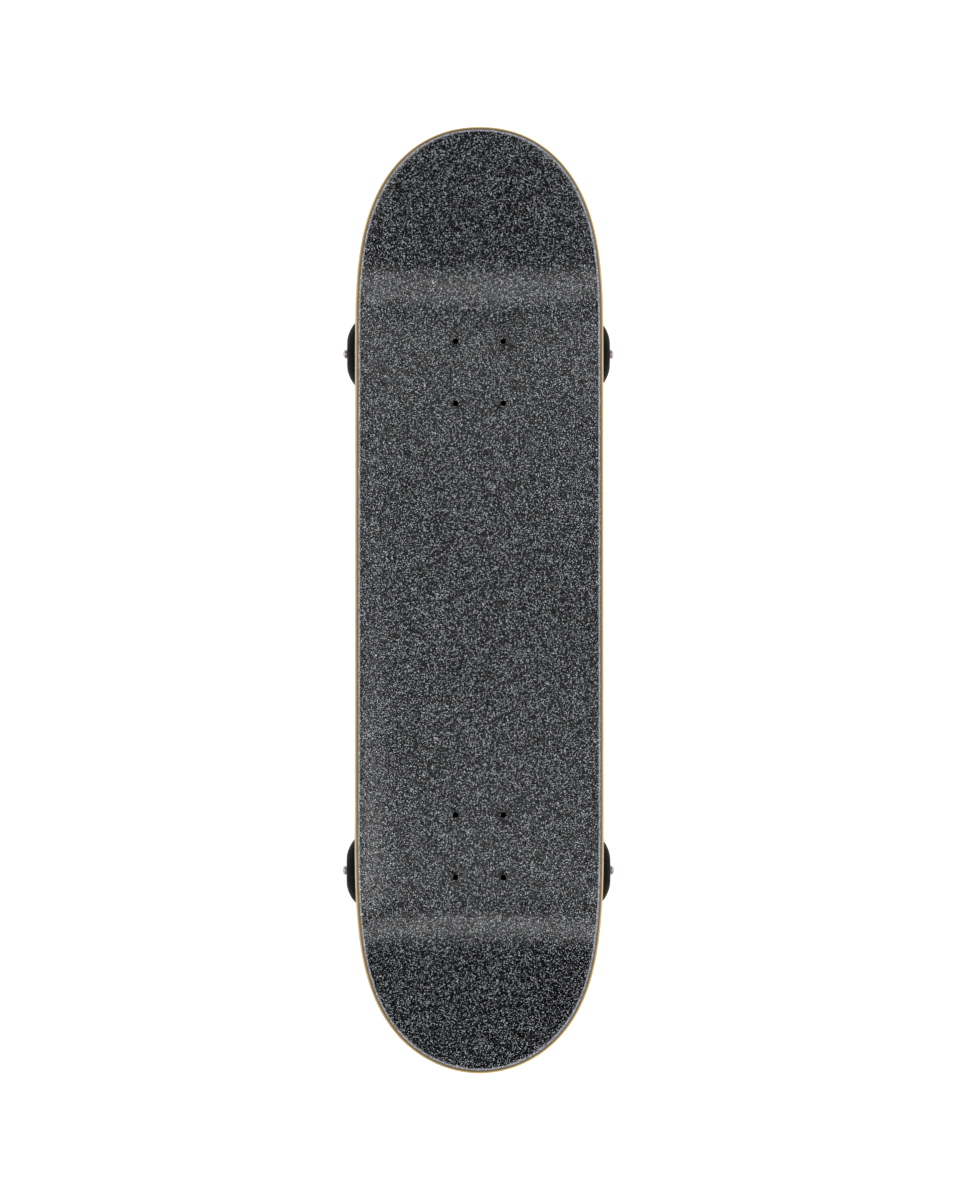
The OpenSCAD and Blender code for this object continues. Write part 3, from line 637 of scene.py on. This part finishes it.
nut_top_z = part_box("mounting_nuts")[1][2]
small_nut = lock_nut(0.0095, 0.0038, 0.00385, 0.0012, bolt_r)
turn_over = Matrix.Rotation(math.pi, 4, "X")
nuts = join(*[
    moved(small_nut.copy(),
          Matrix.Translation((x, y, nut_top_z)) @ turn_over @ Matrix.Rotation(0.7 * i, 4, "Z"))
    for i, (x, y) in enumerate(bolt_places)
])
place_piece(nuts, "truck_nut_set", black_oxide, "black_steel", "deck", "mounting_nuts")

# ---- Baseplates ----
# Cast aluminium, tumbled bright: a bolted flange, a boss for the kingpin and a housing for the pivot
# cup. The seats, the bolt holes and the face against the deck are machined.


def box_middle(node_name):
    """The middle of a CAD node's box."""
    low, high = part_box(node_name)
    return [(a + b) / 2 for a, b in zip(low, high)]


axle_z = box_middle("front_axle")[2]
axle_x = {end: box_middle(f"{end}_axle")[0] for end in ("front", "rear")}
truck_at = {
    "front": Matrix.Translation((axle_x["front"], 0, axle_z)),
    "rear": Matrix.Translation((axle_x["rear"], 0, axle_z)) @ Matrix.Rotation(math.pi, 4, "Z"),
}
truck_height = 0.054
pivot_centre = Vector((0.006, 0, 0.041))
yoke_centre = Vector((-0.033, 0, 0.021))
steer_line = pivot_centre - yoke_centre
steer_angle = math.atan2(steer_line.z, steer_line.x)
pivot_frame = Matrix.Translation(pivot_centre) @ Matrix.Rotation(math.pi / 2 - steer_angle, 4, "Y")
kingpin_frame = Matrix.Translation(yoke_centre) @ Matrix.Rotation(math.radians(12), 4, "Y")
plate_size = (0.083, 0.057, 0.006)
plate_middle = -0.0232
kingpin_r = 0.00476
kingpin_flats = 0.0143
kingpin_seat = 0.01795
kingpin_head = kingpin_seat + 0.004
cup_r = 0.0085
# The gap between a pressed-in piece and its hole
press_gap = 0.00002


def wrap(*meshes):
    """The tightest convex skin round some meshes."""
    whole = bmesh.new()
    for mesh in meshes:
        whole.from_mesh(mesh)
    skin = bmesh.ops.convex_hull(whole, input=whole.verts[:])
    inner = {part for part in skin["geom_interior"] + skin["geom_unused"]
             if isinstance(part, bmesh.types.BMVert)}
    bmesh.ops.delete(whole, geom=list(inner), context="VERTS")
    old_faces = [face for face in whole.faces if face not in skin["geom"]]
    bmesh.ops.delete(whole, geom=old_faces, context="FACES_ONLY")
    return solid(whole, "wrap")


def cast(mesh, voxel, rounds):
    """A casting: overlapping solids become one skin, and every inside corner gets a fillet."""
    blank = bpy.data.objects.new("blank", mesh)
    bpy.context.collection.objects.link(blank)
    skin = blank.modifiers.new("skin", "REMESH")
    skin.mode = "VOXEL"
    skin.voxel_size = voxel
    ease = blank.modifiers.new("ease", "SMOOTH")
    ease.factor = 0.5
    ease.iterations = rounds
    finished = bpy.data.meshes.new_from_object(blank.evaluated_get(bpy.context.evaluated_depsgraph_get()))
    bpy.data.objects.remove(blank)
    return finished


def hexagonal(flats, low, high, place=Matrix()):
    """A hexagonal rod of the given width across its flats."""
    return rod(flats / math.sqrt(3), low, high, place, segments=6)


plate_blank = bmesh.new()
plate_place = Matrix.Translation((plate_middle, 0, truck_height - plate_size[2] / 2))
bmesh.ops.create_cube(plate_blank, size=1, matrix=plate_place @ Matrix.Diagonal((*plate_size, 1)))
uprights = [edge for edge in plate_blank.edges if abs(edge.verts[0].co.z - edge.verts[1].co.z) > 0.001]
bmesh.ops.bevel(plate_blank, geom=uprights, offset=0.008, affect="EDGES", segments=8, profile=0.5,
                material=-1)
flange = solid(plate_blank, "flange")
boss = wrap(rod(0.0135, kingpin_seat, kingpin_seat + 0.004, kingpin_frame),
            rod(0.0172, kingpin_seat + 0.0075, kingpin_seat + 0.009, kingpin_frame))
housing = wrap(rod(0.0115, -0.004, 0.007, pivot_frame),
               block((0.020, 0.025, 0.003), Matrix.Translation((0.004, 0, truck_height - 0.0045))))
spine = block((0.030, 0.007, 0.007), Matrix.Translation((-0.010, 0, truck_height - 0.0075)))
gussets = [
    wrap(block((0.004, 0.0035, 0.006), Matrix.Translation((-0.0335, side * 0.010, truck_height - 0.011))),
         block((0.004, 0.0035, 0.001), Matrix.Translation((-0.052, side * 0.0125, truck_height - 0.006))))
    for side in (-1, 1)
]
baseplate = cast(join(flange, boss, housing, spine, *gussets), 0.00075, 5)
cuts = [
    block((0.2, 0.2, 0.04), Matrix.Translation((0, 0, truck_height - 0.0001 + 0.02))),
    rod(kingpin_r + press_gap, 0, 0.06, kingpin_frame),
    hexagonal(kingpin_flats + 0.0001, kingpin_head, kingpin_head + 0.04, kingpin_frame),
    rod(0.0165, kingpin_seat - 0.02, kingpin_seat, kingpin_frame),
    rod(cup_r + press_gap, -0.025, 0.005, pivot_frame),
]
for side_x in (-1, 1):
    for side_y in (-1, 1):
        hole_place = (plate_middle + side_x * bolt_pattern[0] / 2, side_y * bolt_pattern[1] / 2, 0)
        cuts.append(rod(bolt_hole / 2, 0, 0.1, Matrix.Translation(hole_place)))
for cut in cuts:
    baseplate = carve(baseplate, cut)
cast_aluminium = worn("cast_aluminium", (0.50, 0.51, 0.52), (0.66, 0.67, 0.68),
                      scale=130, rough=(0.34, 0.5), metallic=0.95, bump_depth=0.00012, bump_scale=1300)
for end in ("front", "rear"):
    place_piece(baseplate, f"{end}_baseplate_casting", cast_aluminium, "cast_aluminium", "deck",
                f"{end}_baseplate", place=truck_at[end])

# ---- Pivot cups ----
# A moulded cup in each baseplate, which the hanger's rounded nose turns in.
cup_plastic = worn("cup_plastic", (0.74, 0.70, 0.58), (0.80, 0.77, 0.68),
                   scale=90, rough=(0.35, 0.5), metallic=0.0)
nose_centre = -0.003
nose_gap_r = 0.00607
arc = [math.radians(angle) for angle in range(0, 90, 9)]
cup = lathe([(nose_gap_r, -0.0048), (nose_gap_r + 0.0003, -0.005), (cup_r - 0.0003, -0.005), (cup_r, -0.0047),
             (cup_r, 0.0047), (cup_r - 0.0003, 0.005), (0, 0.005), (0, nose_centre + nose_gap_r)]
            + [(nose_gap_r * math.sin(a), nose_centre + nose_gap_r * math.cos(a)) for a in arc[1:]]
            + [(nose_gap_r, nose_centre)])
for end in ("front", "rear"):
    place_piece(cup, f"{end}_pivot_cup_moulding", cup_plastic, "cup_plastic", "deck", f"{end}_pivot_cup",
                place=truck_at[end] @ pivot_frame)

# ---- Kingpins and their nuts ----
# Black high-tensile bolts, pressed into the baseplates from above. The zinc lock nut below sets how
# hard the bushings are squeezed.
zinc = worn("zinc_plate", (0.46, 0.47, 0.47), (0.60, 0.60, 0.58),
            scale=160, rough=(0.22, 0.38), metallic=1.0, bump_depth=0.00003)
kingpin_nut_start = 0.01695
kingpin_end = kingpin_nut_start + 0.010
kingpin = join(
    lathe([(0, -kingpin_end + 0.014), (kingpin_r, -kingpin_end + 0.014), (kingpin_r, kingpin_head + 0.0005),
           (0, kingpin_head + 0.0005)], 48),
    thread(kingpin_r, 0.00106, -kingpin_end + 0.0005, -kingpin_end + 0.0145),
    hexagonal(kingpin_flats, kingpin_head, kingpin_head + 0.0056),
)
kingpin_nut = lock_nut(kingpin_flats, 0.007, 0.0059, 0.002, kingpin_r)
for end in ("front", "rear"):
    at = truck_at[end] @ kingpin_frame
    place_piece(kingpin, f"{end}_kingpin_bolt", black_oxide, "black_steel", "deck", f"{end}_kingpin",
                place=at)
    place_piece(kingpin_nut, f"{end}_kingpin_lock_nut", zinc, "zinc_steel", "deck", f"{end}_kingpin_nut",
                place=at @ Matrix.Translation((0, 0, -kingpin_nut_start)) @ turn_over)

# ---- Bushings and their cup washers ----
# Cast urethane, a barrel above the yoke and a cone below it. A dished, pressed washer holds the far
# end of each.
urethane_white = worn("urethane_off_white", (0.72, 0.66, 0.50), (0.78, 0.73, 0.60),
                      scale=70, rough=(0.28, 0.42), metallic=0.0)
shader = urethane_white.node_tree.nodes["Principled BSDF"]
shader.inputs["Subsurface Weight"].default_value = 0.25
shader.inputs["Subsurface Radius"].default_value = (0.004, 0.003, 0.002)
bushing_start = 0.00455
bushing_r = 0.0122
board_height = 0.012
road_height = 0.011
road_end_r = 0.0086
bushing_bore = kingpin_r + 0.0001
washer_dish = 0.0018


def bushing(near_r, far_r, height, bulge):
    """A bushing from z = 0 up, with rounded rims and sides that bulge a little under load."""
    rim = 0.0007
    side = [(near_r + (far_r - near_r) * t + bulge * math.sin(math.pi * t), rim + (height - 2 * rim) * t)
            for t in [i / 8 for i in range(9)]]
    return lathe([(bushing_bore, 0), (near_r - rim, 0), *side, (far_r - rim, height), (bushing_bore, height)])


def cup_washer(held_r):
    """A pressed washer whose dish opens downwards, with its back at z = 0."""
    thick = 0.0014
    lip = -thick - washer_dish
    bore = kingpin_r + 0.00015
    inner = held_r + 0.0002
    outer = inner + 0.0010
    return lathe([(bore, -thick), (inner - 0.0006, -thick), (inner, -thick - 0.0006), (inner, lip + 0.0001),
                  (inner + 0.0002, lip), (outer - 0.0002, lip), (outer, lip + 0.0002),
                  (outer, -0.0012), (outer - 0.0004, -0.0004), (outer - 0.0013, 0), (bore, 0)])


barrel_bushing = bushing(bushing_r, bushing_r, board_height, 0.0)
cone_bushing = moved(bushing(bushing_r, road_end_r, road_height, 0.0003), turn_over)
road_lip_r = road_end_r + (bushing_r - road_end_r) * washer_dish / road_height
washers = join(
    moved(cup_washer(bushing_r), Matrix.Translation((0, 0, kingpin_seat))),
    moved(cup_washer(road_lip_r + 0.0002), Matrix.Translation((0, 0, -kingpin_nut_start)) @ turn_over),
)
for end in ("front", "rear"):
    at = truck_at[end] @ kingpin_frame
    place_piece(barrel_bushing, f"{end}_barrel_bushing", urethane_white, "bushing_urethane", "deck",
                f"{end}_board_bushing", place=at @ Matrix.Translation((0, 0, bushing_start)))
    place_piece(cone_bushing, f"{end}_cone_bushing", urethane_white, "bushing_urethane", "deck",
                f"{end}_road_bushing", place=at @ Matrix.Translation((0, 0, -bushing_start)))
    place_piece(washers, f"{end}_dished_washers", zinc, "zinc_steel", "deck", f"{end}_cup_washers", place=at)

# ---- Hangers ----
# Cast aluminium in one piece round the axle: the yoke that the bushings squeeze, a body that rises
# to the pivot nose, and two arms that taper to the wheels. The seats, ends and nose are machined.
hanger_end_y = 0.083
along_axle = Matrix.Rotation(-math.pi / 2, 4, "X")
yoke_r = 0.018
yoke_half = 0.006
nose_r = 0.006
half_arm = [(0, hanger_end_y), (0.0094, hanger_end_y), (0.0096, 0.078), (0.0088, 0.072), (0.0094, 0.060),
            (0.0108, 0.044), (0.0120, 0.028)]
arm_profile = [(r, -y) for r, y in half_arm] + [(0.0124, 0)] + half_arm[::-1]


def ball(radius, place):
    """A sphere about a place."""
    sphere = bmesh.new()
    bmesh.ops.create_uvsphere(sphere, u_segments=24, v_segments=16, radius=radius, matrix=place)
    return solid(sphere, "ball")


arms = moved(lathe(arm_profile), along_axle)
stem_base = pivot_frame @ Matrix.Translation((0, 0, -0.014))
core = wrap(rod(0.0105, -0.024, 0.024, along_axle), ball(0.0078, stem_base))
yoke_web = wrap(rod(0.0078, -0.022, 0.022, along_axle), rod(yoke_r, -0.0058, 0.0058, kingpin_frame))
yoke = rod(yoke_r, -yoke_half, yoke_half, kingpin_frame)
shoulders = [wrap(ball(0.0055, Matrix.Translation((-0.003, side * 0.012, 0.016))),
                  ball(0.0062, Matrix.Translation((0, side * 0.060, 0.0025))),
                  ball(0.0055, Matrix.Translation((-0.003, side * 0.012, 0.004)))) for side in (-1, 1)]
stem = rod(0.008, 0, 0.0075, stem_base, far_radius=0.0058)
hanger = cast(join(arms, core, yoke_web, yoke, stem, *shoulders), 0.0008, 6)
nose_profile = [(0, -0.010), (nose_r, -0.010), (nose_r, nose_centre)] + [
    (nose_r * math.cos(a), nose_centre + nose_r * math.sin(a)) for a in arc[1:]] + [(0, nose_centre + nose_r)]
hanger = carve(hanger, moved(lathe(nose_profile), pivot_frame), "UNION")
for cut in (
    rod(0.0075, -0.03, 0.03, kingpin_frame),
    rod(bushing_r + 0.0005, 0.0045, 0.035, kingpin_frame),
    rod(bushing_r + 0.0005, -0.035, -0.0045, kingpin_frame),
    rod(0.017, 0.0058, 0.036, kingpin_frame),
    rod(0.015, -0.036, -0.0058, kingpin_frame),
    rod(0.00398, -0.1, 0.1, along_axle),
    block((0.1, 0.02, 0.1), Matrix.Translation((0, hanger_end_y + 0.01 - 0.0001, 0))),
    block((0.1, 0.02, 0.1), Matrix.Translation((0, -hanger_end_y - 0.01 + 0.0001, 0))),
):
    hanger = carve(hanger, cut)
for end in ("front", "rear"):
    place_piece(hanger, f"{end}_hanger_casting", cast_aluminium, "cast_aluminium", f"{end}_hanger",
                f"{end}_hanger", place=truck_at[end])

# ---- Axles, speed washers and axle nuts ----
# A ground steel rod runs through each hanger, with threaded ends. A lock nut, sunk in the wheel's
# recess, and a thin washer on each side of the bearings hold each wheel on.
axle_r = 0.00397
axle_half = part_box("front_axle")[1][1]
thread_start = 0.1045
both_ways = (Matrix(), Matrix.Rotation(math.pi, 4, "Z"))
tip = [(0, axle_half - 0.0012), (axle_r - 0.0006, axle_half - 0.0012), (axle_r - 0.0007, axle_half - 0.0006),
       (axle_r - 0.0012, axle_half), (0, axle_half)]
ground_steel = worn("ground_steel", (0.62, 0.55, 0.56), (0.74, 0.67, 0.68),
                    scale=220, rough=(0.28, 0.42), metallic=0.9, bump_depth=0.00003)
axle = join(
    moved(lathe([(0, -thread_start), (axle_r, -thread_start), (axle_r, thread_start), (0, thread_start)], 48),
          along_axle),
    *[moved(thread(axle_r, 0.001, thread_start - 0.001, axle_half - 0.0009), turn @ along_axle)
      for turn in both_ways],
    *[moved(lathe(tip, 32), turn @ along_axle) for turn in both_ways],
)
axle_nut = lock_nut(0.0127, 0.005, 0.00545, 0.002, axle_r)
nut_start_y = 0.109
axle_nuts = join(*[moved(axle_nut.copy(), turn @ Matrix.Translation((0, nut_start_y, 0)) @ along_axle)
                   for turn in both_ways])
washer_paint = worn("washer_steel", (0.50, 0.50, 0.50), (0.64, 0.63, 0.60),
                    scale=400, rough=(0.25, 0.4), metallic=1.0, bump_depth=0.00003)


def refinish(node_name, material):
    """Gives a CAD node that stays in the scene a finish of its own."""
    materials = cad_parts[node_name].data.materials
    materials.clear()
    materials.append(material)


for end in ("front", "rear"):
    place_piece(axle, f"{end}_axle_rod", ground_steel, "bright_steel", f"{end}_hanger", f"{end}_axle",
                place=truck_at[end])
    place_piece(axle_nuts, f"{end}_axle_lock_nuts", black_oxide, "black_steel", f"{end}_hanger",
                f"{end}_axle_nuts", place=truck_at[end])
    refinish(f"{end}_speed_washers", washer_paint)

# ---- Bearings ----
# Two in each wheel, with seven balls in a moulded cage, hardened races and a pressed steel shield
# over each face. A turned spacer holds the inner races apart on the axle.
race_steel = worn("race_steel", (0.52, 0.53, 0.54), (0.62, 0.62, 0.62),
                  scale=300, rough=(0.12, 0.24), metallic=1.0, bump_depth=0.00001)
shield_steel = worn("shield_steel", (0.34, 0.35, 0.36), (0.42, 0.42, 0.42),
                    scale=500, rough=(0.24, 0.36), metallic=1.0, bump_depth=0.00002)
ball_steel = worn("ball_steel", (0.70, 0.70, 0.71), (0.78, 0.78, 0.79),
                  scale=500, rough=(0.05, 0.1), metallic=1.0, bump_depth=0.0)
cage_nylon = worn("cage_nylon", (0.46, 0.33, 0.16), (0.54, 0.41, 0.23),
                  scale=200, rough=(0.4, 0.55), metallic=0.0)
spacer_metal = worn("spacer_metal", (0.62, 0.63, 0.64), (0.72, 0.73, 0.74),
                    scale=300, rough=(0.22, 0.35), metallic=1.0)
for end in ("front", "rear"):
    refinish(f"{end}_inner_races", race_steel)
    refinish(f"{end}_spacers", spacer_metal)
bearing_middle = 0.0085
race_half = 0.0035
ball_pitch_r = 0.0075
groove_r = 0.00205
shield_profile = [
    (0.0063, 0.00275), (0.0066, 0.00305), (0.0078, 0.00315), (0.0086, 0.0030), (0.0096, 0.0029),
    (0.00965, 0.0031), (0.0096, 0.0032), (0.0086, 0.0033), (0.0078, 0.0034), (0.0064, 0.0033),
    (0.0062, 0.0030),
]
groove = [(ball_pitch_r + groove_r * math.cos(a), groove_r * math.sin(a))
          for a in [math.radians(d) for d in range(-36, 37, 9)]]
half_race = [(0.011, race_half - 0.0003), (0.0107, race_half), (0.0099, race_half),
             (0.0097, race_half - 0.0002), (0.0097, 0.00275), (0.0091, 0.00275)]
outer_race_profile = half_race + groove[::-1] + [(r, -y) for r, y in reversed(half_race)]

# ---- Wheels ----
# Cast urethane, near black and matt, with domed sides and a flat tread. Each side is recessed to its
# bearing. The side's fullness is 2 for an ellipse, and less nears a cone.
wheel_r = axle_z
wheel_half = 0.020
side_depth = 0.010
lip_r = 0.0126
recess_r = 0.012
side_fullness = 1.5
seat_r = 0.01101
seat_end = 0.012
web_half = 0.005
web_r = 0.0097
dome = [(lip_r + (wheel_r - lip_r) * math.cos(a) ** (2 / side_fullness),
         wheel_half - side_depth + side_depth * math.sin(a) ** (2 / side_fullness))
        for a in [math.radians(d) for d in range(0, 90, 5)] + [math.pi / 2 - 0.001]]
half_wheel = dome + [(lip_r - 0.0002, wheel_half - 0.0001), (recess_r, wheel_half - 0.0006),
                     (recess_r - 0.0001, seat_end + 0.0004), (recess_r - 0.0004, seat_end),
                     (seat_r + 0.0003, seat_end), (seat_r, seat_end - 0.0003),
                     (seat_r, web_half), (web_r + 0.0002, web_half), (web_r, web_half - 0.0002)]
wheel_mesh = moved(lathe(half_wheel + [(r, -y) for r, y in reversed(half_wheel)], 128), along_axle)


def wheel_finish():
    """Near-black, matt urethane with a faint bloom in patches and a fine skin."""
    material, nodes, links, shader = new_material("wheel_urethane")
    coords = nodes.new("ShaderNodeTexCoord")
    tone = nodes.new("ShaderNodeTexNoise")
    tone.inputs["Scale"].default_value = 45
    tone.inputs["Detail"].default_value = 8
    links.new(coords.outputs["Object"], tone.inputs["Vector"])
    ramp = nodes.new("ShaderNodeValToRGB")
    ramp.color_ramp.elements[0].position = 0.35
    ramp.color_ramp.elements[0].color = (0.0035, 0.0045, 0.0055, 1)
    ramp.color_ramp.elements[1].position = 0.8
    ramp.color_ramp.elements[1].color = (0.0055, 0.0068, 0.0083, 1)
    links.new(tone.outputs["Fac"], ramp.inputs["Fac"])
    links.new(ramp.outputs["Color"], shader.inputs["Base Color"])
    gloss = nodes.new("ShaderNodeMapRange")
    gloss.inputs["To Min"].default_value = 0.36
    gloss.inputs["To Max"].default_value = 0.52
    links.new(tone.outputs["Fac"], gloss.inputs["Value"])
    links.new(gloss.outputs["Result"], shader.inputs["Roughness"])
    skin = nodes.new("ShaderNodeTexNoise")
    skin.inputs["Scale"].default_value = 1500
    links.new(coords.outputs["Object"], skin.inputs["Vector"])
    bump = nodes.new("ShaderNodeBump")
    bump.inputs["Strength"].default_value = 0.3
    bump.inputs["Distance"].default_value = 0.00004
    links.new(skin.outputs["Fac"], bump.inputs["Height"])
    links.new(bump.outputs["Normal"], shader.inputs["Normal"])
    shader.inputs["Specular IOR Level"].default_value = 0.008
    return material


wheel_paint = wheel_finish()
wheel_middle_y = box_middle("front_left_wheel")[1]
bearing_at = [Matrix.Translation((0, side * bearing_middle, 0)) @ along_axle for side in (-1, 1)]
race_pair = join(*[moved(lathe(outer_race_profile), at) for at in bearing_at])
shield_set = join(*[moved(lathe(shield_profile), at @ flip)
                    for at in bearing_at for flip in (Matrix(), turn_over)])
for end in ("front", "rear"):
    for side, across_sign in (("left", 1), ("right", -1)):
        corner = f"{end}_{side}"
        at = Matrix.Translation((axle_x[end], across_sign * wheel_middle_y, axle_z))
        place_piece(wheel_mesh, f"{corner}_wheel_casting", wheel_paint, "wheel_urethane", f"{corner}_wheel",
                    f"{corner}_wheel", place=at)
        place_piece(race_pair, f"{corner}_race_pair", race_steel, "bright_steel", f"{corner}_wheel",
                    f"{corner}_outer_races", place=at)
        place_piece(shield_set, f"{corner}_shield_set", shield_steel, "zinc_steel", f"{corner}_wheel",
                    f"{corner}_shields", place=at)
        refinish(f"{corner}_balls", ball_steel)
        refinish(f"{corner}_cages", cage_nylon)
